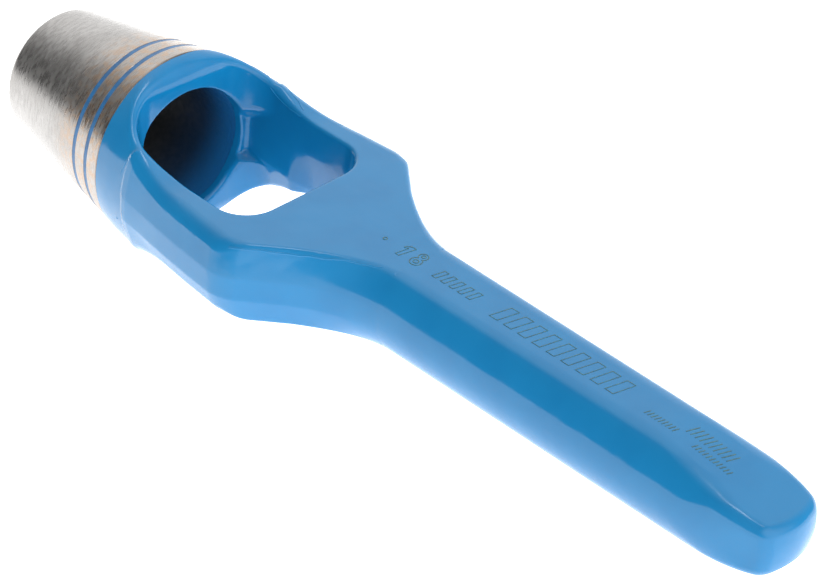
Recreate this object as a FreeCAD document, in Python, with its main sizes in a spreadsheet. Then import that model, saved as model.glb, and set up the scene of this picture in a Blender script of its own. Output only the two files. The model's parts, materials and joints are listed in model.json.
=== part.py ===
import FreeCAD, Part
import math
import os
import Sketcher

# Drive hole punch for 18 mm holes, lying on a bench.
#
# Every sub-part is drawn in the tool's own axes: X runs along the tool from the
# cutting edge (x = 0) to the struck end, Y across the arch, Z up through the eye.
# One shared Placement then lays the tool down the way it rests, on the lip of its
# collar and the end of its shank, with the origin at the bottom centre of its box.

DIMENSIONS = {
    # ground cutting head
    "bore_radius": 9.0,
    "bore_land": 7.0,
    "bore_mouth_radius": 9.6,
    "edge_wall": 0.05,
    "bevel_length": 1.0,
    "bevel_wall": 0.9,
    "cone_slope": 0.17,
    "collar_end": 34.3,
    # turned grooves round the head and the paint in them
    "groove_front": 19.85,
    "groove_rear": 23.0,
    "groove_width": 0.8,
    "groove_depth": 0.3,
    "groove_fill": 0.25,
    # enamel
    "film": 0.2,
    "paint_line": 26.25,
    # arch: plan of the flash land, draft above and below it
    "half_thickness": 5.95,
    "land_half": 1.7,
    "draft_angle": 18.5,
    "arch_start_half": 15.4,
    "shoulder_place": 55.4,
    "shoulder_half": 17.55,
    "shoulder_round": 2.0,
    "neck_place": 69.8,
    "neck_half": 5.4,
    "neck_round": 22.0,
    "arch_end": 80.0,
    # hollow that blends the flat of the arch up to the collar
    "dish_start": 43.0,
    "dish_radius": 20.0,
    # eye
    "eye_head_wall": 28.9,
    "eye_shank_wall": 53.0,
    "eye_head_half": 11.5,
    "eye_shank_half": 11.7,
    "eye_head_round": 3.5,
    "eye_shank_round": 5.2,
    # shank
    "shank_start": 56.0,
    "shank_radius_start": 7.2,
    "shank_radius_end": 6.75,
    "total_length": 136.2,
    "taper_length": 11.0,
    "end_half_height": 3.6,
    "end_half_width": 4.5,
    # broken edges
    "eye_edge_round": 0.4,
    "end_round": 1.2,
}

# Cuts that pass right through reach this far.
CUT_REACH = 80.0
# Grown by the enamel, a corner of the arch's plan moves this share of the film along the tool.
CORNER_SHIFT = 0.35


class Size:
    """A length as a number and as the sheet expression that gives it."""

    def __init__(self, text, value):
        self.text = text
        self.value = float(value)

    def __add__(self, other):
        other = as_size(other)
        return Size(f"({self.text} + {other.text})", self.value + other.value)

    def __sub__(self, other):
        other = as_size(other)
        return Size(f"({self.text} - {other.text})", self.value - other.value)

    def __mul__(self, other):
        other = as_size(other)
        return Size(f"({self.text} * {other.text})", self.value * other.value)

    def __neg__(self):
        return Size(f"(0 - {self.text})", -self.value)


def as_size(item):
    if isinstance(item, Size):
        return item
    return Size(repr(float(item)), item)


class Sheet:
    """The driving dimensions, one attribute for each."""

    def __init__(self, doc):
        self.table = doc.addObject("Spreadsheet::Sheet", "Dims")
        for row, (alias, value) in enumerate(DIMENSIONS.items(), start=1):
            self.table.set(f"A{row}", alias.replace("_", " "))
            self.table.set(f"B{row}", str(value))
            self.table.setAlias(f"B{row}", alias)
            setattr(self, alias, Size(f"Dims.{alias}", value))
        doc.recompute()

    def cone_radius(self, place):
        """Radius of the ground cone at a place along the tool."""
        start = self.bore_radius + self.bevel_wall
        return start + (place - self.bevel_length) * self.cone_slope


# ---- sketches -------------------------------------------------------------------

def origin_item(body, role):
    return [item for item in body.Origin.OriginFeatures if item.Role == role][0]


def new_sketch(body, name, plane, lift=None):
    sketch = body.newObject("Sketcher::SketchObject", name)
    sketch.AttachmentSupport = [(origin_item(body, plane), "")]
    sketch.MapMode = "FlatFace"
    if lift is not None:
        sketch.setExpression(".AttachmentOffset.Base.z", lift.text)
    return sketch


def bind(sketch, kind, places, size):
    """Adds one constraint and ties its value to the sheet."""
    index = sketch.addConstraint(Sketcher.Constraint(kind, *places, size.value))
    name = f"size_{index}"
    sketch.renameConstraint(index, name)
    sketch.setExpression(f"Constraints.{name}", size.text)


def pin_point(sketch, geometry, end, x, y):
    bind(sketch, "DistanceX", (-1, 1, geometry, end), x)
    bind(sketch, "DistanceY", (-1, 1, geometry, end), y)


def vector(x, y):
    return FreeCAD.Vector(x, y, 0)


def corner_arc(before, corner, after, radius):
    """Arc that rounds a corner: both tangent points and the circle's centre."""
    back = (before - corner).normalize()
    ahead = (after - corner).normalize()
    half = back.getAngle(ahead) / 2
    reach = radius / math.tan(half)
    centre = corner + (back + ahead).normalize() * (radius / math.sin(half))
    return corner + back * reach, corner + ahead * reach, centre


def outline(sketch, corners):
    """Closed outline through corners of (x, y, radius or None), tied to the sheet."""
    count = len(corners)
    places = [vector(x.value, y.value) for x, y, _ in corners]
    arrive = list(places)
    leave = list(places)
    centres = [None] * count
    for i, (_, _, radius) in enumerate(corners):
        if radius is not None:
            rounded = corner_arc(places[i - 1], places[i], places[(i + 1) % count], radius.value)
            arrive[i], leave[i], centres[i] = rounded
    lines = []
    for i in range(count):
        segment = Part.LineSegment(leave[i], arrive[(i + 1) % count])
        lines.append(sketch.addGeometry(segment, False))
    for i, (x, y, radius) in enumerate(corners):
        line_in = lines[i - 1]
        line_out = lines[i]
        if radius is None:
            sketch.addConstraint(Sketcher.Constraint("Coincident", line_in, 2, line_out, 1))
            pin_point(sketch, line_out, 1, x, y)
            continue
        round_corner(sketch, line_in, line_out, (arrive[i], leave[i], centres[i]), corners[i])


def round_corner(sketch, line_in, line_out, rounded, corner):
    """Rounds the corner of two lines; the corner itself stays as a construction point."""
    x, y, radius = corner
    start, end, centre = rounded
    circle = Part.Circle(centre, FreeCAD.Vector(0, 0, 1), radius.value)
    turn = (start - centre).cross(end - centre).z
    first, last = (start, end) if turn > 0 else (end, start)
    angles = [math.atan2(point.y - centre.y, point.x - centre.x) for point in (first, last)]
    arc = sketch.addGeometry(Part.ArcOfCircle(circle, angles[0], angles[1]), False)
    at_start, at_end = (1, 2) if turn > 0 else (2, 1)
    sketch.addConstraint(Sketcher.Constraint("Tangent", line_in, 2, arc, at_start))
    sketch.addConstraint(Sketcher.Constraint("Tangent", line_out, 1, arc, at_end))
    bind(sketch, "Radius", (arc,), radius)
    point = sketch.addGeometry(Part.Point(vector(x.value, y.value)), True)
    pin_point(sketch, point, 1, x, y)
    sketch.addConstraint(Sketcher.Constraint("PointOnObject", point, 1, line_in))
    sketch.addConstraint(Sketcher.Constraint("PointOnObject", point, 1, line_out))


def mirrored(corners):
    """A half outline above the axis, closed by its mirror image below."""
    below = [(x, -y, radius) for x, y, radius in reversed(corners)]
    return corners + below


# ---- features -------------------------------------------------------------------

def revolve(body, name, corners, cut=False):
    """Turned form about the tool's axis, added or cut."""
    sketch = new_sketch(body, name + "Profile", "XZ_Plane")
    outline(sketch, corners)
    kind = "PartDesign::Groove" if cut else "PartDesign::Revolution"
    feature = body.newObject(kind, name)
    feature.Profile = sketch
    feature.ReferenceAxis = (origin_item(body, "X_Axis"), [""])
    feature.Angle = 360
    body.Document.recompute()
    return feature


def pad(body, name, corners, length, lift=None, draft=None, down=False):
    """Solid raised from a plan outline, across the plane or away from it with draft."""
    sketch = new_sketch(body, name + "Plan", "XY_Plane", lift)
    outline(sketch, corners)
    feature = body.newObject("PartDesign::Pad", name)
    feature.Profile = sketch
    feature.setExpression("Length", length.text)
    feature.Midplane = draft is None
    feature.Reversed = down
    if draft is not None:
        feature.setExpression("TaperAngle", draft.text)
    body.Document.recompute()
    return feature


def cut_through(body, name, plane, corners):
    """Cut of one outline, through everything on both sides of its plane."""
    sketch = new_sketch(body, name + "Outline", plane)
    outline(sketch, corners)
    feature = body.newObject("PartDesign::Pocket", name)
    feature.Profile = sketch
    feature.Midplane = True
    feature.Length = CUT_REACH
    before = body.Shape.Volume
    body.Document.recompute()
    if feature.Shape.Volume > before - 1.0:
        raise RuntimeError(f"{name} cut nothing")
    return feature


def fillet(body, name, base, wanted, radius):
    """Rounds the edges of base for which wanted(edge) is true."""
    names = [f"Edge{i}" for i, edge in enumerate(base.Shape.Edges, start=1) if wanted(edge)]
    if not names:
        raise RuntimeError(f"{name} found no edges")
    feature = body.newObject("PartDesign::Fillet", name)
    feature.Base = (base, names)
    feature.setExpression("Radius", radius.text)
    body.Document.recompute()
    return feature


def middle(edge):
    return edge.valueAt((edge.FirstParameter + edge.LastParameter) / 2)


# ---- the forging ----------------------------------------------------------------

def head_profile(dims, grow, start):
    """Bevel, cone and collar of the head, from start to inside the arch."""
    collar = dims.cone_radius(dims.collar_end) + grow
    end = dims.dish_start
    profile = [(start, as_size(0), None)]
    if start.value < dims.bevel_length.value:
        profile.append((start, dims.bore_radius + dims.edge_wall, None))
        profile.append((dims.bevel_length, dims.cone_radius(dims.bevel_length), None))
    else:
        profile.append((start, dims.cone_radius(start) + grow, None))
    profile.append((dims.collar_end, collar, None))
    profile.append((end, collar, None))
    profile.append((end, as_size(0), None))
    return profile


def arch_plan(dims, grow):
    """Half plan of the arch at its flash land: flare, shoulder, hollow neck, root."""
    neck_half = dims.neck_half + grow
    return [
        (dims.collar_end, dims.arch_start_half + grow, None),
        (dims.shoulder_place + grow * CORNER_SHIFT, dims.shoulder_half + grow, dims.shoulder_round),
        (dims.neck_place + grow * CORNER_SHIFT, neck_half, dims.neck_round - grow),
        (dims.arch_end, neck_half, None),
    ]


def eye_plan(dims, grow):
    """Half plan of the eye: rounded corners, nearly parallel sides."""
    return [
        (dims.eye_head_wall + grow, dims.eye_head_half - grow, dims.eye_head_round),
        (dims.eye_shank_wall - grow, dims.eye_shank_half - grow, dims.eye_shank_round),
    ]


def bore_profile(dims):
    """Cylindrical land behind the cutting edge, then a relief that widens to the eye."""
    mouth = dims.eye_head_wall + 1.0
    return [
        (as_size(-1.0), as_size(0), None),
        (as_size(-1.0), dims.bore_radius, None),
        (dims.bore_land, dims.bore_radius, None),
        (mouth, dims.bore_mouth_radius, None),
        (mouth, as_size(0), None),
    ]


def face_cut(dims, grow, side):
    """Everything beyond one flat of the tool, with the hollow up to the collar."""
    level = (dims.half_thickness + grow) * side
    far = level + (dims.dish_radius + 5.0) * side
    wall = dims.dish_start - dims.dish_radius - 0.5
    return [
        (wall, far, None),
        (wall, level, dims.dish_radius),
        (dims.total_length + 5.0, level, None),
        (dims.total_length + 5.0, far, None),
    ]


def end_cut(dims, grow, half, end_half, side):
    """Wedge that tapers one side of the struck end."""
    start = dims.total_length - dims.taper_length
    far = (half + 10.0) * side
    slope = (half.value - end_half.value) / dims.taper_length.value
    beyond = (end_half + grow - slope * 2.0) * side
    return [
        (start, (half + grow) * side, None),
        (dims.total_length + 2.0, beyond, None),
        (dims.total_length + 2.0, far, None),
        (start, far, None),
    ]


def forging(doc, dims, name, grow, start):
    """The whole tool, thicker by grow on every outer face, from start to its end."""
    body = doc.addObject("PartDesign::Body", name)
    revolve(body, "Head", head_profile(dims, grow, start))
    plan = mirrored(arch_plan(dims, grow))
    web = dims.half_thickness + grow - dims.land_half
    pad(body, "Land", plan, dims.land_half * 2)
    draft = -dims.draft_angle
    pad(body, "UpperDraft", plan, web, dims.land_half, draft)
    pad(body, "LowerDraft", plan, web, -dims.land_half, draft, down=True)
    shank = [
        (dims.shank_start, as_size(0), None),
        (dims.shank_start, dims.shank_radius_start + grow, None),
        (dims.total_length + grow, dims.shank_radius_end + grow, None),
        (dims.total_length + grow, as_size(0), None),
    ]
    revolve(body, "Shank", shank)
    for side, word in ((1, "Top"), (-1, "Bottom")):
        cut_through(body, word + "Face", "XZ_Plane", face_cut(dims, grow, side))
    cut_through(body, "Eye", "XY_Plane", mirrored(eye_plan(dims, grow)))
    height = (dims.half_thickness, dims.end_half_height)
    width = (dims.shank_radius_end, dims.end_half_width)
    for side, word in ((1, "Top"), (-1, "Bottom")):
        cut_through(body, word + "Taper", "XZ_Plane", end_cut(dims, grow, *height, side))
    for side, word in ((1, "Far"), (-1, "Near")):
        cut_through(body, word + "Taper", "XY_Plane", end_cut(dims, grow, *width, side))
    revolve(body, "Bore", bore_profile(dims), cut=True)
    fillet(body, "EyeEdges", body.Tip, lambda edge: rims_the_eye(dims, edge), dims.eye_edge_round)
    fillet(body, "EndEdges", body.Tip, lambda edge: at_struck_end(dims, edge), dims.end_round)
    return body


def rims_the_eye(dims, edge):
    """True for the edges where the eye's walls meet the top and bottom of the arch."""
    place = middle(edge)
    along = dims.eye_head_wall.value - 0.5 < place.x < dims.eye_shank_wall.value + 0.5
    inside = abs(place.y) < dims.eye_shank_half.value + 0.1
    return along and inside and abs(place.z) > dims.half_thickness.value - 0.1


def at_struck_end(dims, edge):
    """True for the edges of the struck face and of the taper behind it."""
    return middle(edge).x > dims.total_length.value - dims.taper_length.value + 1.0


def groove_section(dims, place, inner, outer):
    """Section of a ring that follows the cone, inner and outer measured into the steel."""
    front = place - dims.groove_width * 0.5
    rear = place + dims.groove_width * 0.5
    return [
        (front, dims.cone_radius(front) - inner, None),
        (front, dims.cone_radius(front) - outer, None),
        (rear, dims.cone_radius(rear) - outer, None),
        (rear, dims.cone_radius(rear) - inner, None),
    ]


def steel_forging(doc, dims):
    """The steel: forged, bored, ground on the head, with two turned grooves."""
    body = forging(doc, dims, "steel_forging", as_size(0), as_size(0))
    for name, place in (("FrontGroove", dims.groove_front), ("RearGroove", dims.groove_rear)):
        section = groove_section(dims, place, dims.groove_depth, as_size(-1.0))
        revolve(body, name, section, cut=True)
    return body


def groove_paint(doc, dims, name, place):
    """Ring of paint lying in the bottom of a groove."""
    body = doc.addObject("PartDesign::Body", name)
    surface = dims.groove_depth - dims.groove_fill
    revolve(body, "Ring", groove_section(dims, place, dims.groove_depth, surface))
    return body


def enamel_coat(doc, dims, steel):
    """The enamel: a thicker tool from the paint line back, less the steel inside it."""
    outside = forging(doc, dims, "CoatOutside", dims.film, dims.paint_line)
    coat = doc.addObject("Part::Cut", "enamel_coat")
    coat.Base = outside
    coat.Tool = steel
    doc.recompute()
    return coat


# ---- resting pose ---------------------------------------------------------------

def lowest(points, turn, wanted):
    return min(turn.multVec(point).z for point in points if wanted(point))


def resting_placement(shapes, split):
    """Lays the tool on its collar and its struck end, origin under the middle of its box."""
    points = [point for shape in shapes for point in shape.tessellate(0.05)[0]]
    small, large = 0.0, 10.0
    for _ in range(40):
        angle = (small + large) / 2
        turn = FreeCAD.Rotation(FreeCAD.Vector(0, 1, 0), angle)
        collar = lowest(points, turn, lambda point: point.x < split)
        shank = lowest(points, turn, lambda point: point.x >= split)
        if shank > collar:
            small = angle
        else:
            large = angle
    placed = [turn.multVec(point) for point in points]
    middle_x = (min(p.x for p in placed) + max(p.x for p in placed)) / 2
    middle_y = (min(p.y for p in placed) + max(p.y for p in placed)) / 2
    shift = FreeCAD.Vector(-middle_x, -middle_y, -min(p.z for p in placed))
    return FreeCAD.Placement(shift, turn)


# ---- document -------------------------------------------------------------------

def check(doc, pieces):
    for item in doc.Objects:
        if "Invalid" in item.State or "Error" in item.State:
            raise RuntimeError(f"{item.Name} failed: {item.State}")
    for piece in pieces:
        if piece.Shape.isNull() or not piece.Shape.isValid():
            raise RuntimeError(f"{piece.Label} has a bad shape")


def main():
    doc = FreeCAD.newDocument("DriveHolePunch")
    dims = Sheet(doc)
    steel = steel_forging(doc, dims)
    coat = enamel_coat(doc, dims, steel)
    front = groove_paint(doc, dims, "groove_paint_front", dims.groove_front)
    rear = groove_paint(doc, dims, "groove_paint_rear", dims.groove_rear)
    pieces = [steel, coat, front, rear]
    for piece in pieces:
        piece.Label = piece.Name

    rest = resting_placement([steel.Shape, coat.Shape], dims.total_length.value / 2)
    for piece in (steel, coat.Base, front, rear):
        piece.Placement = rest
    doc.recompute()
    check(doc, pieces)

    os.makedirs("parts", exist_ok=True)
    for piece in pieces:
        piece.Shape.exportStep(f"parts/{piece.Label}.step")
        box = piece.Shape.optimalBoundingBox(True, False)
        print(piece.Label, len(piece.Shape.Solids), round(piece.Shape.Volume, 2), box)
    print("rest", rest)


main()
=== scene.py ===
import json
import math

import bmesh
import bpy
import numpy as np
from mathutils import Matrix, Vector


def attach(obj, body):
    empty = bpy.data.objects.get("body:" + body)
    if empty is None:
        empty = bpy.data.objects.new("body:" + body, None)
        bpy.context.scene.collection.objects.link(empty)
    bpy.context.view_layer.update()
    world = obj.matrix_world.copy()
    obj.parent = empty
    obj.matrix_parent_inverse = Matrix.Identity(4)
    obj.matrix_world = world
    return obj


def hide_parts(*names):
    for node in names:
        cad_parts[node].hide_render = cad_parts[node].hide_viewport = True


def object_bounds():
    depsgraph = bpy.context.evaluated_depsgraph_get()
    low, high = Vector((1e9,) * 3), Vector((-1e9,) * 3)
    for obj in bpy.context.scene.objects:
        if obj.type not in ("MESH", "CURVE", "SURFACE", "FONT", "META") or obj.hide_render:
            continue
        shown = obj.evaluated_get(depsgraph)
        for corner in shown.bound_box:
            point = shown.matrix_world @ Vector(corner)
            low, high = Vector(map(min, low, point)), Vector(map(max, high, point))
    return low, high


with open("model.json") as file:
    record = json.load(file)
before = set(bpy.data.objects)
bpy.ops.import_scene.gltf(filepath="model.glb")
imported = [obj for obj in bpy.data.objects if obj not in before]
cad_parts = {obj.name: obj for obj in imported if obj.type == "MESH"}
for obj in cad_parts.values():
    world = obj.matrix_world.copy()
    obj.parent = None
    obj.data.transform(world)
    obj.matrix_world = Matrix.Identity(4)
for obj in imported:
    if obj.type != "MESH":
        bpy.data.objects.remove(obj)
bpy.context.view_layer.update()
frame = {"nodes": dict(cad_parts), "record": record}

import openvdb
from mathutils import Matrix, Vector, noise

# Drive hole punch lying on its collar and the end of its shank.
# The shape functions work in the tool's own axes in millimetres: x along the tool from the
# cutting edge, y across the arch, z up through the eye. TOOL takes them to the row frame.
# They are distance fields, negative inside. A LEVEL is the cosine of a face's slope, which
# makes the field of a sloping face measure distance square to it.

MM = 0.001

mounts = {mount["name"]: mount for mount in frame["record"]["mounts"]}
BORE = mounts["cutting_bore"]
tool_axis = -Vector(BORE["axis"])
TILT = Matrix.Rotation(math.atan2(-tool_axis.z, tool_axis.x), 4, "Y")
TOOL = Matrix.Translation(Vector(BORE["pos_m"])) @ TILT @ Matrix.Scale(MM, 4)

# ---- dimensions, mm -------------------------------------------------------------

BORE_RADIUS = BORE["dims"]["r_mm"]
BORE_LAND = BORE["dims"]["length_mm"]
BORE_MOUTH_RADIUS = 9.6
BORE_CUT_TO = 36.0
BEVEL_LENGTH = 1.0
BEVEL_RADIUS = 9.9
CONE_SLOPE = 0.17
CONE_LEVEL = 0.986
COLLAR_END = 34.3
PAINT_BEAD = 0.12
GROOVES = (19.85, 23.0)
GROOVE_WIDTH = 0.8
GROOVE_DEPTH = 0.3
FILM = 0.2
FILM_IN_BORE = 0.12
PAINT_LINE = 26.25
PAINT_WANDER = (0.10, 0.04)

HALF_THICKNESS = 6.15
LAND_HALF = 1.7
DRAFT = 0.335
DRAFT_LEVEL = 0.95
DISH_START = 43.0
DISH_RADIUS = 20.0

# roundings along the top, and along the underside where there are two
CREST_ROUND = 1.3
ARCH_ROUND = (1.7, 2.6)
SHANK_ROUND = (0.5, 0.8)
COLLAR_FILLET = 0.6
END_START_ROUND = 1.0

EYE_FROM = 28.9
EYE_TO = 52.8
EYE_HALF = 11.4
EYE_CORNER = 0.7
EYE_CORNER_ABOVE = 4.8
EYE_CORNER_BELOW = 4.0
EYE_FAR_CORNER = 5.0
EYE_LEAN = 0.10
EYE_FLARE = 0.30
EYE_RELIEF = 0.22

CHEEK_HALF = 15.55
CHEEK_SLOPE = 0.155
CHEEK_BOW = 0.0024
CHEEK_LEVEL = 0.94
SHOULDER = (55.4, 17.75)
SHOULDER_ROUND = 1.5
FACE_SLOPE = 0.844
NECK_RADIUS = 22.0
NECK_END = 75.5
TURNED_FROM = 61.5
TURNED_TO = 74.0
SHANK_RADIUS = 7.25
SHANK_TAPER = 0.007
SHANK_MIDDLE = 91.0

LENGTH = 136.4
CROWN_RADIUS = 11.0
END_HALF_HEIGHT = 3.3
END_TOP_SLOPE = 0.19
END_TOP_LEVEL = 0.98
END_HALF_WIDTH = 4.58
END_SIDE_SLOPE = 0.242
END_SIDE_LEVEL = 0.972
END_EDGE_ROUND = 1.5
END_RIM_ROUND = 1.0

HIDDEN_FROM = 25.9
HEAD_TO = 26.5
PAINT_IN_BORE = 27.6

HEAD_SEGMENTS = 288
SHARP_ANGLE = 28
VOXEL = 0.3
COAT_TRIANGLES = 90000
BODY_TRIANGLES = 40000


# ---- distance fields ------------------------------------------------------------

def meet(a, b, radius):
    """Intersection of two distance fields with its edge rounded."""
    outer = np.hypot(np.maximum(a + radius, 0), np.maximum(b + radius, 0))
    return np.minimum(np.maximum(a, b), -radius) + outer


def join(a, b, radius):
    """Union of two distance fields with its corner filled."""
    return -meet(-a, -b, radius)


def ramp(value, start, end):
    """0 before start, 1 after end, smooth between."""
    t = np.clip((value - start) / (end - start), 0, 1)
    return t * t * (3 - 2 * t)


def softly_above(value, soft):
    """max(value, 0) with a rounded knee."""
    return 0.5 * (value + np.sqrt(value * value + soft * soft))


def cone_radius(x):
    return BEVEL_RADIUS + CONE_SLOPE * (np.minimum(x, COLLAR_END) - BEVEL_LENGTH)


def shank_radius(x):
    return SHANK_RADIUS - SHANK_TAPER * (x - SHANK_MIDDLE)


def bore_radius(x):
    share = (x - BORE_LAND) / (EYE_FROM - BORE_LAND)
    return BORE_RADIUS + (BORE_MOUTH_RADIUS - BORE_RADIUS) * share


def hollow(x, height):
    """Flat of the tool, curving up to the collar in a hollow."""
    arc = DISH_RADIUS - np.hypot(x - DISH_START, height - HALF_THICKNESS - DISH_RADIUS)
    return np.where(x < DISH_START, arc, height - HALF_THICKNESS)


def neck_arc():
    """Centre of the hollow of the neck and the place where it leaves the shoulder's face."""
    angle = math.atan(FACE_SLOPE)
    level = shank_radius(NECK_END) + NECK_RADIUS
    centre = SHOULDER[0] + (SHOULDER[1] + NECK_RADIUS / math.cos(angle) - level) / FACE_SLOPE
    return centre, level, centre - NECK_RADIUS * math.sin(angle)


def neck_half(x):
    """Half width in plan of the shoulder's face, the neck and the shank, and its cosine."""
    centre, level, touch = neck_arc()
    face = SHOULDER[1] - FACE_SLOPE * (x - SHOULDER[0])
    arc = level - np.sqrt(np.clip(NECK_RADIUS ** 2 - (x - centre) ** 2, 0, None))
    half = np.where(x < touch, face, np.where(x < centre, arc, shank_radius(x)))
    slope = np.where(x < touch, FACE_SLOPE, np.where(x < centre, (centre - x) / (level - arc), 0))
    return half, 1 / np.sqrt(1 + slope * slope)


def arch_side(x, y, z):
    """The two side faces: bowed cheek, shoulder, hollow neck and round shank."""
    across = np.abs(y)
    draft = DRAFT * softly_above(np.abs(z) - LAND_HALF, 0.15)
    along = x - COLLAR_END
    bow = CHEEK_HALF + CHEEK_SLOPE * along - CHEEK_BOW * along * along
    cheek = (across + draft - bow) * CHEEK_LEVEL
    half, level = neck_half(x)
    radius = shank_radius(x)
    turned = radius - np.sqrt(np.clip(radius * radius - z * z, 0.5, None))
    share = ramp(x, TURNED_FROM, TURNED_TO)
    inset = (1 - share) * draft / level + share * turned
    neck = (across + inset - half) * level * DRAFT_LEVEL
    neck = np.where(x > TURNED_TO, np.hypot(y, z) - radius, neck)
    return meet(cheek, neck, SHOULDER_ROUND)


def struck_end(x, y, z):
    """Crowned face with a flat taper on each of the four sides."""
    face = x - LENGTH + (y * y + z * z) / (2 * CROWN_RADIUS)
    top = (np.abs(z) - END_HALF_HEIGHT - END_TOP_SLOPE * (LENGTH - x)) * END_TOP_LEVEL
    side = (np.abs(y) - END_HALF_WIDTH - END_SIDE_SLOPE * (LENGTH - x)) * END_SIDE_LEVEL
    return meet(meet(top, side, END_EDGE_ROUND), face, END_RIM_ROUND)


def eye(x, y, z):
    """Opening through the arch: forged hollows above and below a straight trimmed band."""
    above = ramp(z, 1.0, 4.5)
    below = ramp(-z, 3.4, 4.8)
    lean = EYE_LEAN * np.minimum(z - HALF_THICKNESS, 3.0)
    band_foot = -4.0 - 0.2 * softly_above(x - 36.0, 1.0)
    flare = EYE_FLARE * softly_above(band_foot - z, 0.3)
    relief = EYE_RELIEF * ramp(x, 37.5, 42.0) * softly_above(1.2 - z, 0.6)
    half = EYE_HALF + lean + flare + relief
    middle = (EYE_FROM + EYE_TO) / 2
    near_corner = EYE_CORNER + EYE_CORNER_ABOVE * above + EYE_CORNER_BELOW * below
    radius = np.where(x < middle, near_corner, EYE_FAR_CORNER)
    reach = (EYE_TO - EYE_FROM) / 2 + np.where(x < middle, 0.02 * z, 0.05 * z)
    along = np.abs(x - middle) - reach + radius
    across = np.abs(y) - half + radius
    beyond = np.hypot(np.maximum(along, 0), np.maximum(across, 0))
    return beyond + np.minimum(np.maximum(along, across), 0) - radius


def bore(x, y, z):
    return np.maximum(np.hypot(y, z) - bore_radius(x), x - BORE_CUT_TO)


def outside(x, y, z):
    """Signed distance to the painted forging before it is bored."""
    bead = PAINT_BEAD * (1 - ramp(x, 27.5, 33.0))
    cone = (np.hypot(y, z) - cone_radius(x) - bead) * CONE_LEVEL
    head = np.maximum(cone, x - DISH_START - 1)
    arch = np.maximum(arch_side(x, y, z), COLLAR_END - 1 - x)
    collar, behind = ramp(x, 31.0, 36.0), ramp(x, 54.0, 57.5)
    edge = np.where(z > 0, *ARCH_ROUND) * (1 - behind) + np.where(z > 0, *SHANK_ROUND) * behind
    edge = CREST_ROUND * (1 - collar) + edge * collar
    body = meet(join(head, arch, COLLAR_FILLET), hollow(x, np.abs(z)), edge)
    body = meet(body, struck_end(x, y, z), END_START_ROUND)
    return meet(body, -eye(x, y, z), 0.5 + 0.5 * (1 - ramp(x, 34.0, 40.0)))


def painted(x, y, z):
    """Signed distance to the enamel's outer surface."""
    mouth = 0.35 + 0.45 * ramp(-z, 2.5, 5.0)
    return meet(outside(x, y, z), -bore(x, y, z), mouth)


def steel_body(x, y, z):
    """The steel under the enamel, closed off inside the ground head."""
    skin = FILM_IN_BORE + (FILM - FILM_IN_BORE) * ramp(x, 27.0, PAINT_IN_BORE)
    under = meet(outside(x, y, z) + FILM, skin - bore(x, y, z), 0.3)
    return np.maximum(under, HIDDEN_FROM - x)


def gradient(field, points, step=0.02):
    x, y, z = points.T
    parts = []
    for dx, dy, dz in np.eye(3) * step:
        parts.append((field(x + dx, y + dy, z + dz) - field(x - dx, y - dy, z - dz)) / (2 * step))
    return np.stack(parts, axis=1)


def settle(field, points, reach):
    """Moves points onto the surface where the field is zero."""
    for _ in range(3):
        slope = gradient(field, points)
        step = (field(*points.T) / np.sum(slope * slope, axis=1))[:, None] * slope
        points = points - np.clip(step, -reach, reach)
    return points


def surface(field, low, high, voxel):
    """Points and quads of the surface where the field is zero."""
    axes = [np.arange(a, b, voxel) for a, b in zip(low, high)]
    grid = openvdb.FloatGrid()
    grid.copyFromArray(field(*np.meshgrid(*axes, indexing="ij")).astype(np.float32))
    points, quads = grid.convertToQuads(isovalue=0.0)
    return settle(field, points.astype(float) * voxel + np.array(low), voxel), quads


# ---- meshes ---------------------------------------------------------------------

def new_object(name, mesh):
    obj = bpy.data.objects.new(name, mesh)
    bpy.context.collection.objects.link(obj)
    return obj


def to_mesh(name, points, faces):
    mesh = bpy.data.meshes.new(name)
    mesh.from_pydata(np.asarray(points).tolist(), [], [list(face) for face in faces])
    mesh.update()
    return mesh


def coordinates(mesh):
    points = np.empty(len(mesh.vertices) * 3)
    mesh.vertices.foreach_get("co", points)
    return points.reshape(-1, 3)


def modified(obj, kind, **settings):
    """The object's mesh after one modifier, as a new mesh."""
    modifier = obj.modifiers.new(kind, kind)
    for key, value in settings.items():
        setattr(modifier, key, value)
    shaped = obj.evaluated_get(bpy.context.evaluated_depsgraph_get())
    mesh = bpy.data.meshes.new_from_object(shaped)
    obj.modifiers.clear()
    return mesh


def lighter(points, quads, faces, field):
    """The same surface with large faces where it is flat."""
    obj = new_object("dense", to_mesh("dense", points, quads))
    mesh = modified(obj, "DECIMATE", ratio=min(1.0, faces / (2 * len(quads))))
    bpy.data.objects.remove(obj)
    points = settle(field, coordinates(mesh), 0.05)
    return points, [tuple(face.vertices) for face in mesh.polygons]


def place(obj, normals=None):
    """Takes a mesh drawn in tool millimetres to the row frame, with its normals if given."""
    mesh = obj.data
    mesh.transform(TOOL)
    mesh.shade_smooth()
    if normals is not None:
        turned = normals @ np.array(TILT.to_3x3()).T
        mesh.normals_split_custom_set(turned.tolist())
    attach(obj, "root")


def unit(vectors):
    return vectors / np.linalg.norm(vectors, axis=1)[:, None]


def lathe(profile, segments):
    """Closed ring turned about the x axis from a closed profile of (x, radius)."""
    count = len(profile)
    points = []
    for i in range(segments):
        angle = 2 * math.pi * i / segments
        points += [(x, radius * math.sin(angle), radius * math.cos(angle)) for x, radius in profile]
    faces = []
    for i in range(segments):
        near, far = i * count, (i + 1) % segments * count
        for j in range(count):
            k = (j + 1) % count
            faces.append((near + j, near + k, far + k, far + j))
    return points, faces


# ---- steel ----------------------------------------------------------------------

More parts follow.
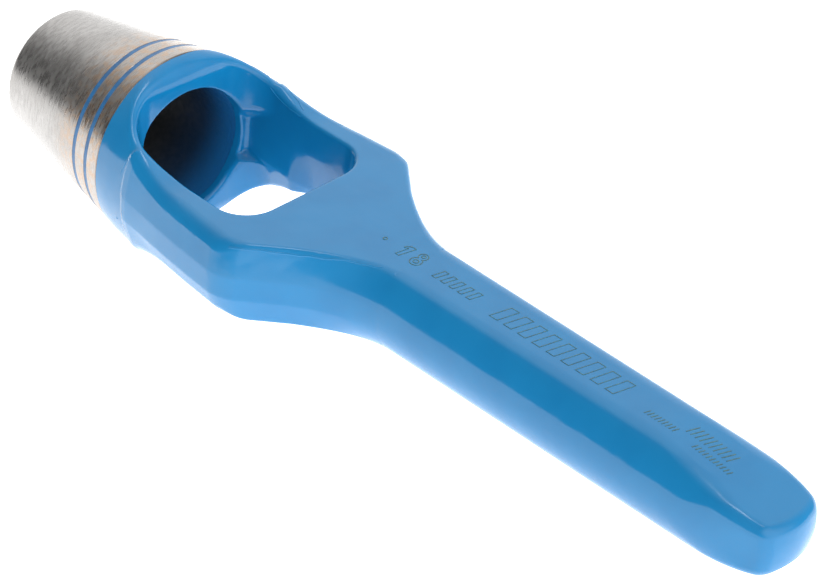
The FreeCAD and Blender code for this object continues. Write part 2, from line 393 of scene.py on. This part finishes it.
def head_profile():
    """Outline of the ground head: bevel, cone with its grooves, and the bore."""
    outline = [(0.0, BORE_RADIUS + 0.03), (0.08, BORE_RADIUS + 0.12)]
    outline += [(BEVEL_LENGTH - 0.12, BEVEL_RADIUS - 0.14), (BEVEL_LENGTH, BEVEL_RADIUS - 0.03)]
    outline += [(x, cone_radius(x)) for x in np.arange(1.2, GROOVES[0] - 0.6, 1.0)]
    for groove in GROOVES:
        front, rear = groove - GROOVE_WIDTH / 2, groove + GROOVE_WIDTH / 2
        steps = [(front - 0.06, 0), (front, 0.04), (front + 0.04, GROOVE_DEPTH)]
        steps += [(rear - 0.04, GROOVE_DEPTH), (rear, 0.04), (rear + 0.06, 0)]
        outline += [(x, cone_radius(x) - depth) for x, depth in steps]
    outline += [(x, cone_radius(x)) for x in (24.5, 25.5, 26.0)]
    outline.append((HEAD_TO, cone_radius(HEAD_TO) - 0.6))
    outline.append((HEAD_TO, bore_radius(HEAD_TO) + 0.1))
    outline += [(x, bore_radius(max(x, BORE_LAND))) for x in (24.0, 20.0, 14.0, BORE_LAND, 0.1)]
    return outline


BOX_LOW = (24.0, -18.6, -15.6)
BOX_HIGH = (137.8, 18.6, 15.6)

points, quads = surface(steel_body, BOX_LOW, BOX_HIGH, VOXEL)
points, faces = lighter(points, quads, BODY_TRIANGLES, steel_body)
body = new_object("steel_body", to_mesh("steel_body", points, faces))
head = to_mesh("steel_forging_visual", *lathe(head_profile(), HEAD_SEGMENTS))
steel = new_object("steel_forging_visual", head)
steel.data = modified(steel, "BOOLEAN", operation="UNION", solver="MANIFOLD", object=body)
bpy.data.objects.remove(body)
place(steel)
steel.data.set_sharp_from_angle(angle=math.radians(SHARP_ANGLE))
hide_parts("steel_forging")


# ---- enamel ---------------------------------------------------------------------

def paint_edge(points):
    """How far the edge of the enamel wanders along the tool, round the head."""
    waves = []
    for x, y, z in points:
        around = Vector((y, z, 3.0)).normalized() * 2.2
        broad, fine = PAINT_WANDER
        waves.append(broad * noise.noise(around) + fine * noise.noise(around * 5))
    return np.array(waves)


def open_skin(points, faces):
    """The enamel's outer surface, cut at the paint line and inside the bore's mouth."""
    straight = points.copy()
    straight[:, 0] -= paint_edge(points)
    mesh = to_mesh("skin", straight, faces)
    bm = bmesh.new()
    bm.from_mesh(mesh)
    cut = {"dist": 1e-5, "plane_no": (1, 0, 0), "clear_inner": True}
    whole = bm.verts[:] + bm.edges[:] + bm.faces[:]
    bmesh.ops.bisect_plane(bm, geom=whole, plane_co=(PAINT_LINE, 0, 0), **cut)
    walls = []
    for face in bm.faces:
        centre = face.calc_center_median()
        if math.hypot(centre.y, centre.z) < bore_radius(centre.x) + 0.1 and centre.x < EYE_FROM:
            walls.append(face)
    edges = {edge for face in walls for edge in face.edges}
    verts = {vert for face in walls for vert in face.verts}
    mouth = walls + list(edges) + list(verts)
    bmesh.ops.bisect_plane(bm, geom=mouth, plane_co=(PAINT_IN_BORE, 0, 0), **cut)
    loose = [vert for vert in bm.verts if not vert.link_faces]
    bmesh.ops.delete(bm, geom=loose, context="VERTS")
    bm.to_mesh(mesh)
    bm.free()
    skin = coordinates(mesh)
    skin[:, 0] += paint_edge(skin)
    return skin, [tuple(face.vertices) for face in mesh.polygons]


def film(points, faces, normals):
    """Closes an open skin into a film: the skin, its inner side and the rims between them."""
    count = len(points)
    inner = points - FILM * normals
    edges = {}
    for face in faces:
        for edge in zip(face, face[1:] + face[:1]):
            edges[edge] = True
    rims = [(b, a, a + count, b + count) for a, b in edges if (b, a) not in edges]
    inner_faces = [tuple(vertex + count for vertex in reversed(face)) for face in faces]
    return np.vstack([points, inner]), faces + inner_faces + rims


def film_normals(mesh, normals, skin_faces):
    """One normal for each face corner: true to the surface on the skin and its inner side."""
    count = len(normals)
    corners = []
    for face in mesh.polygons:
        rim = face.index >= 2 * skin_faces
        for vertex in face.vertices:
            if rim:
                corners.append(face.normal)
            else:
                corners.append(normals[vertex] if vertex < count else -normals[vertex - count])
    return np.array(corners)


points, quads = surface(painted, BOX_LOW, BOX_HIGH, VOXEL)
points, faces = lighter(points, quads, COAT_TRIANGLES, painted)
points, faces = open_skin(points, faces)
normals = unit(gradient(painted, points))
coat_mesh = to_mesh("enamel_coat_visual", *film(points, faces, normals))
coat = new_object("enamel_coat_visual", coat_mesh)
place(coat, film_normals(coat.data, normals, len(faces)))
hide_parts("enamel_coat")


# ---- paint beads and markings -----------------------------------------------------

def on_enamel(controls, sink, spacing=0.6, sway=0.0):
    """Smooth line over the enamel through the control points, sunk a little below its surface."""
    controls = np.array(controls, float)
    lengths = np.concatenate([[0], np.cumsum(np.linalg.norm(np.diff(controls, axis=0), axis=1))])
    stations = np.linspace(0, lengths[-1], max(3, int(lengths[-1] / spacing)))
    line = np.stack([np.interp(stations, lengths, column) for column in controls.T], axis=1)
    for _ in range(3):
        line[1:-1] = (line[:-2] + line[1:-1] + line[2:]) / 3
    for i, point in enumerate(line):
        line[i] += sway * np.array(noise.noise_vector(Vector(point) * 0.45))
    line = settle(painted, line, 0.5)
    return line - sink * unit(gradient(painted, line))


def rods(name, lines, radius):
    """Thin round rods along lines of points, as one mesh; closed lines end on their first point."""
    curve = bpy.data.curves.new(name, "CURVE")
    curve.dimensions = "3D"
    curve.bevel_depth = radius
    curve.bevel_resolution = 1
    curve.use_fill_caps = True
    for line in lines:
        closed = np.allclose(line[0], line[-1])
        used = line[:-1] if closed else line
        spline = curve.splines.new("POLY")
        spline.points.add(len(used) - 1)
        spline.use_cyclic_u = closed
        for point, position in zip(spline.points, used):
            point.co = (*position, 1)
    drawn = new_object(name, curve)
    shaped = drawn.evaluated_get(bpy.context.evaluated_depsgraph_get())
    mesh = bpy.data.meshes.new_from_object(shaped)
    bpy.data.objects.remove(drawn)
    obj = new_object(name, mesh)
    place(obj)
    return obj


BEAD_RADIUS = 0.18
BEAD_SINK = 0.1
BEAD_SEED = 5
SHOULDER_BEAD = [(55.6, -16.2, 5.9), (60.1, -12.9, 5.9), (64.1, -9.7, 5.9), (68.0, -6.6, 5.9),
                 (71.9, -4.4, 5.8)]
EYE_BEADS = [[(29.2, 11.6, 10.5), (33.1, 12.2, 7.2), (36.4, 12.0, 6.2), (39.0, 11.7, 6.1)],
             [(30.6, 12.9, 9.0), (33.6, 12.9, 7.0), (36.6, 12.8, 6.2), (38.6, 12.4, 6.1)]]
COLLAR_BEAD = [(33.0, -13.0, 6.0), (32.4, -13.0, 2.9), (31.9, -13.3, 0.0), (31.7, -13.3, -2.6)]

MARK_LINE = 0.09
MARK_SINK = 0.03

# unseeded, noise_vector differs from one run to the next
noise.seed_set(BEAD_SEED)
lines = [on_enamel(SHOULDER_BEAD, BEAD_SINK, sway=0.35)]
lines += [on_enamel(bead, BEAD_SINK, sway=0.3) for bead in EYE_BEADS]
lines.append(on_enamel(COLLAR_BEAD, BEAD_SINK))
beads = rods("paint_beads", lines, BEAD_RADIUS)


def circle(x, y, radius, count=16):
    angles = [2 * math.pi * i / count for i in range(count)]
    ring = [(x + radius * math.cos(a), y + radius * math.sin(a)) for a in angles]
    return ring + ring[:1]


def slanted(x, y, width, height, slant=0.25):
    """Outline of a bar that leans forward."""
    lean = slant * height
    bar = [(x, y), (x + width, y), (x + width + lean, y + height), (x + lean, y + height)]
    return bar + bar[:1]


def tick(x, y, height, slant=0.35):
    return [(x, y), (x + slant * height, y + height)]


def figure_eight(x, y, size):
    """Outline of an 8 from two stacked rings and their holes."""
    low, high = 0.29 * size, 0.24 * size
    waist = y + 2 * low - 0.04 * size
    outline = []
    for centre, radius, start in ((y + low, low, 115), (waist + high - 0.03 * size, high, -65)):
        angles = [math.radians(start + 310 * i / 18) for i in range(19)]
        outline += [(x + radius * math.cos(a), centre + radius * math.sin(a)) for a in angles]
    holes = [circle(x, y + low, 0.13 * size, 10), circle(x, waist + high, 0.1 * size, 10)]
    return [outline + outline[:1]] + holes


def markings():
    """Bore size, and plain bars and ticks where the tool carries its lettering."""
    outlines = [circle(67.7, 0.1, 0.28, 10)]
    one = [(70.9, -1.2), (71.5, -1.2), (72.1, 1.4), (71.4, 1.4), (70.7, 0.9), (70.7, 0.6),
           (71.3, 0.8)]
    outlines.append(one + one[:1])
    outlines += figure_eight(73.9, -1.3, 2.9)
    outlines += [slanted(77.4 + 1.5 * i, -1.1, 0.7, 1.9) for i in range(5)]
    outlines += [slanted(88.0 + 2.4 * i, -1.6, 1.3, 3.2) for i in range(9)]
    outlines += [tick(113.3 + 0.55 * i, -1.5, 0.9) for i in range(9)]
    outlines += [tick(118.8 + 0.7 * i, -0.3, 1.8) for i in range(10)]
    outlines += [tick(121.0 + 0.55 * i, -1.8, 0.8) for i in range(11)]
    flat = [np.array([(x, y, HALF_THICKNESS) for x, y in outline]) for outline in outlines]
    return [settle(painted, line, 0.5) - (0, 0, MARK_SINK) for line in flat]


marks = rods("markings", markings(), MARK_LINE)


# ---- materials ------------------------------------------------------------------

def fill(tree, target, sockets):
    """Gives a node's sockets their values; a value may be the output of another node."""
    for key, value in sockets.items():
        if isinstance(value, bpy.types.NodeSocket):
            tree.links.new(value, target.inputs[key])
        else:
            target.inputs[key].default_value = value


def node(tree, kind, sockets, **settings):
    made = tree.nodes.new(kind)
    for key, value in settings.items():
        setattr(made, key, value)
    fill(tree, made, sockets)
    return made


def tool_position(tree, stretch=(1, 1, 1)):
    """Place on the tool in its own axes in mm, each axis multiplied by its stretch."""
    back = TILT.to_3x3().transposed()
    found = node(tree, "ShaderNodeTexCoord", {}).outputs["Object"]
    start = back @ Vector(BORE["pos_m"]) / -MM
    sockets = {"Vector": found, "Location": start, "Rotation": back.to_euler()}
    sockets["Scale"] = (1 / MM,) * 3
    position = node(tree, "ShaderNodeMapping", sockets).outputs["Vector"]
    sockets = {0: position, 1: stretch}
    return node(tree, "ShaderNodeVectorMath", sockets, operation="MULTIPLY").outputs["Vector"]


def cloud(tree, position, scale, detail=2.0):
    sockets = {"Vector": position, "Scale": scale, "Detail": detail}
    return node(tree, "ShaderNodeTexNoise", sockets).outputs[0]


def remap(tree, value, low, high, start, end):
    """Takes low..high to start..end, smooth at both ends."""
    sockets = {"Value": value, "From Min": low, "From Max": high, "To Min": start, "To Max": end}
    made = node(tree, "ShaderNodeMapRange", sockets, interpolation_type="SMOOTHSTEP")
    return made.outputs["Result"]


def times(tree, a, b):
    return node(tree, "ShaderNodeMath", {0: a, 1: b}, operation="MULTIPLY").outputs["Value"]


def plus(tree, a, b):
    return node(tree, "ShaderNodeMath", {0: a, 1: b}, operation="ADD").outputs["Value"]


def mixed(tree, share, first, second):
    """Colour between two colours; a colour is three numbers or another node's output."""
    sockets = {"Fac": share}
    for key, colour in (("Color1", first), ("Color2", second)):
        sockets[key] = colour if isinstance(colour, bpy.types.NodeSocket) else (*colour, 1)
    return node(tree, "ShaderNodeMixRGB", sockets).outputs["Color"]


def along(tree):
    """Distance along the tool from the cutting edge, mm."""
    return node(tree, "ShaderNodeSeparateXYZ", {"Vector": tool_position(tree)}).outputs["X"]


def material(name, recipe):
    """Material whose shader sockets are filled by recipe(tree)."""
    made = bpy.data.materials.new(name)
    made.use_nodes = True
    tree = made.node_tree
    fill(tree, tree.nodes["Principled BSDF"], recipe(tree))
    return made


def bumped(tree, height, depth):
    """Normal disturbed by a height of 0 to 1, depth in mm."""
    return node(tree, "ShaderNodeBump", {"Height": height, "Distance": depth * MM}).outputs["Normal"]


def enamel_recipe(tree):
    position = tool_position(tree)
    tone = remap(tree, cloud(tree, position, 0.14), 0.35, 0.65, 0.0, 1.0)
    return {"Base Color": mixed(tree, tone, (0.005, 0.172, 0.395), (0.006, 0.184, 0.415)),
            "Specular IOR Level": 0.42,
            "Roughness": remap(tree, cloud(tree, position, 0.7), 0.3, 0.7, 0.09, 0.16),
            "Normal": bumped(tree, cloud(tree, position, 0.35, 1.0), 0.045)}


def groove_recipe(tree):
    """Thin, dull enamel left in the grooves."""
    tone = remap(tree, cloud(tree, tool_position(tree), 0.6, 3.0), 0.35, 0.65, 0.0, 1.0)
    return {"Base Color": mixed(tree, tone, (0.006, 0.095, 0.25), (0.008, 0.13, 0.33)),
            "Roughness": 0.42,
            "Normal": bumped(tree, cloud(tree, tool_position(tree), 2.0), 0.03)}


def ground_recipe(tree):
    """Ground steel: short streaks round the head, blotches, a brown stain near the paint, and a
    painted shadow at the paint's edge.
    """
    streak = cloud(tree, tool_position(tree, (2.6, 0.7, 0.7)), 1.0, 4.0)
    blotch = remap(tree, cloud(tree, tool_position(tree), 0.16, 3.0), 0.35, 0.65, 0.0, 1.0)
    grain = remap(tree, streak, 0.3, 0.7, 0.0, 1.0)
    colour = mixed(tree, grain, (0.27, 0.262, 0.255), (0.40, 0.39, 0.38))
    colour = mixed(tree, times(tree, blotch, 0.35), colour, (0.22, 0.21, 0.20))
    speck = remap(tree, cloud(tree, tool_position(tree), 1.1, 4.0), 0.45, 0.62, 0.15, 0.8)
    stain = times(tree, speck, remap(tree, along(tree), 13.0, 20.0, 0.0, 1.0))
    colour = mixed(tree, stain, colour, (0.38, 0.27, 0.19))
    # painted shadow: the steel darkens to near black just before the paint line, standing in for the
    # shade cast by the enamel's edge
    rim = remap(tree, along(tree), 25.6, 26.3, 0.0, 0.8)
    colour = mixed(tree, rim, colour, (0.06, 0.05, 0.045))
    return {"Base Color": colour, "Metallic": 1.0,
            "Roughness": remap(tree, streak, 0.3, 0.7, 0.22, 0.36),
            "Normal": bumped(tree, streak, 0.04)}


def bore_recipe(tree):
    """Scale inside the bore, painted darker the deeper it goes as painted shade, with the enamel's
    spray fading out from its mouth.
    """
    place_along = along(tree)
    # painted shade: over the dark scale, the colour runs from navy near the mouth to near black deep
    # inside the bore
    painted_depth_shade = remap(tree, place_along, 13.0, 24.5, 0.0, 1.0)
    mouth = remap(tree, place_along, 20.5, 27.8, 0.0, 1.0)
    grain = cloud(tree, tool_position(tree), 1.3, 3.0)
    scale = mixed(tree, painted_depth_shade, (0.003, 0.005, 0.007), (0.004, 0.030, 0.078))
    return {"Base Color": mixed(tree, mouth, scale, (0.007, 0.12, 0.31)),
            "Specular IOR Level": 0.2,
            "Roughness": remap(tree, grain, 0.3, 0.7, 0.45, 0.65),
            "Normal": bumped(tree, grain, 0.04)}


def marking_recipe(tree):
    tone = remap(tree, cloud(tree, tool_position(tree), 1.5), 0.3, 0.7, 0.0, 1.0)
    return {"Base Color": mixed(tree, tone, (0.015, 0.085, 0.10), (0.04, 0.15, 0.155)),
            "Roughness": 0.45}


def floor_recipe(tree):
    tone = remap(tree, cloud(tree, tool_position(tree), 0.02), 0.3, 0.7, 0.0, 1.0)
    return {"Base Color": mixed(tree, tone, (0.84, 0.84, 0.84), (0.86, 0.86, 0.86)),
            "Roughness": 0.6, "Emission Color": (1, 1, 1, 1), "Emission Strength": 1.3}


enamel = material("blue_enamel", enamel_recipe)
coat.data.materials.append(enamel)
beads.data.materials.clear()
beads.data.materials.append(enamel)
groove_paint = material("groove_paint", groove_recipe)
for name in ("groove_paint_front", "groove_paint_rear"):
    ring = frame["nodes"][name]
    ring.data.materials.clear()
    ring.data.materials.append(groove_paint)

steel.data.materials.clear()
steel.data.materials.append(material("ground_steel", ground_recipe))
steel.data.materials.append(material("bore_scale_and_shade", bore_recipe))
to_tool = TOOL.inverted()
for face in steel.data.polygons:
    centre = to_tool @ face.center
    inside = math.hypot(centre.y, centre.z) < bore_radius(centre.x) + 0.25
    if inside and BORE_LAND < centre.x < EYE_FROM:
        face.material_index = 1

marks.data.materials.clear()
marks.data.materials.append(material("marking", marking_recipe))


# ---- floor, light and camera ----------------------------------------------------

FLOOR_HALF = 3
floor_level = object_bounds()[0][2]
corners = [(-1, -1), (1, -1), (1, 1), (-1, 1)]
corners = [(FLOOR_HALF * x, FLOOR_HALF * y, floor_level) for x, y in corners]
floor = new_object("floor", to_mesh("floor", corners, [(0, 1, 2, 3)]))
floor.data.materials.append(material("floor", floor_recipe))


def spot(tree, direction, inner, outer, around, within):
    """Smooth disc in the dome: one level within the inner angle, another around the outer one."""
    place = node(tree, "ShaderNodeTexCoord", {}).outputs["Generated"]
    sockets = {0: place, 1: Vector(direction).normalized()}
    dot = node(tree, "ShaderNodeVectorMath", sockets, operation="DOT_PRODUCT").outputs["Value"]
    edge, middle = math.cos(math.radians(outer)), math.cos(math.radians(inner))
    return remap(tree, dot, edge, middle, around, within)


def studio():
    """Dome that is bright behind the tool and dark over its near side."""
    world = bpy.data.worlds.new("studio")
    world.use_nodes = True
    tree = world.node_tree
    light = spot(tree, (-0.56, 0.62, 0.56), 25, 75, 0.5, 1.6)
    light = plus(tree, light, spot(tree, (0.95, -0.1, 0.45), 15, 50, 0.0, 1.6))
    light = times(tree, light, spot(tree, (-0.70, -0.60, 0.38), 16, 56, 1.0, 0.36))
    light = plus(tree, light, spot(tree, (0.0, 0.0, 1.0), 7, 10, 0.0, 5.0))
    fill(tree, tree.nodes["Background"], {"Color": (1, 1, 1, 1), "Strength": light})
    bpy.context.scene.world = world


studio()

SENSOR = 36.0
IMAGE_WIDTH = 830
FOCAL = 2500 / IMAGE_WIDTH * SENSOR
SHIFT = (14.2 / IMAGE_WIDTH, -4.1 / IMAGE_WIDTH)
AZIMUTH = math.radians(44.315)
ELEVATION = math.radians(36.24)
ROLL = math.radians(2.763)
DISTANCE = 321.9
TARGET = Vector((71.0, 0.0, 0.0))

reach = math.cos(ELEVATION)
back = Vector((math.sin(AZIMUTH) * reach, -math.cos(AZIMUTH) * reach, math.sin(ELEVATION)))
right = Vector((math.cos(AZIMUTH), math.sin(AZIMUTH), 0.0))
up = back.cross(right)
turned_right = right * math.cos(ROLL) + up * math.sin(ROLL)
turned_up = up * math.cos(ROLL) - right * math.sin(ROLL)
axes = [TILT.to_3x3() @ axis for axis in (turned_right, turned_up, back)]
lens = bpy.data.cameras.new("camera")
camera = new_object("camera", lens)
place_in_row = Matrix.Translation(TOOL @ (TARGET + back * DISTANCE))
camera.matrix_world = place_in_row @ Matrix(axes).transposed().to_4x4()
lens.sensor_width = SENSOR
lens.lens = FOCAL
lens.shift_x, lens.shift_y = SHIFT
lens.clip_start = 0.01
bpy.context.scene.camera = camera
bpy.context.scene.view_settings.view_transform = "Standard"
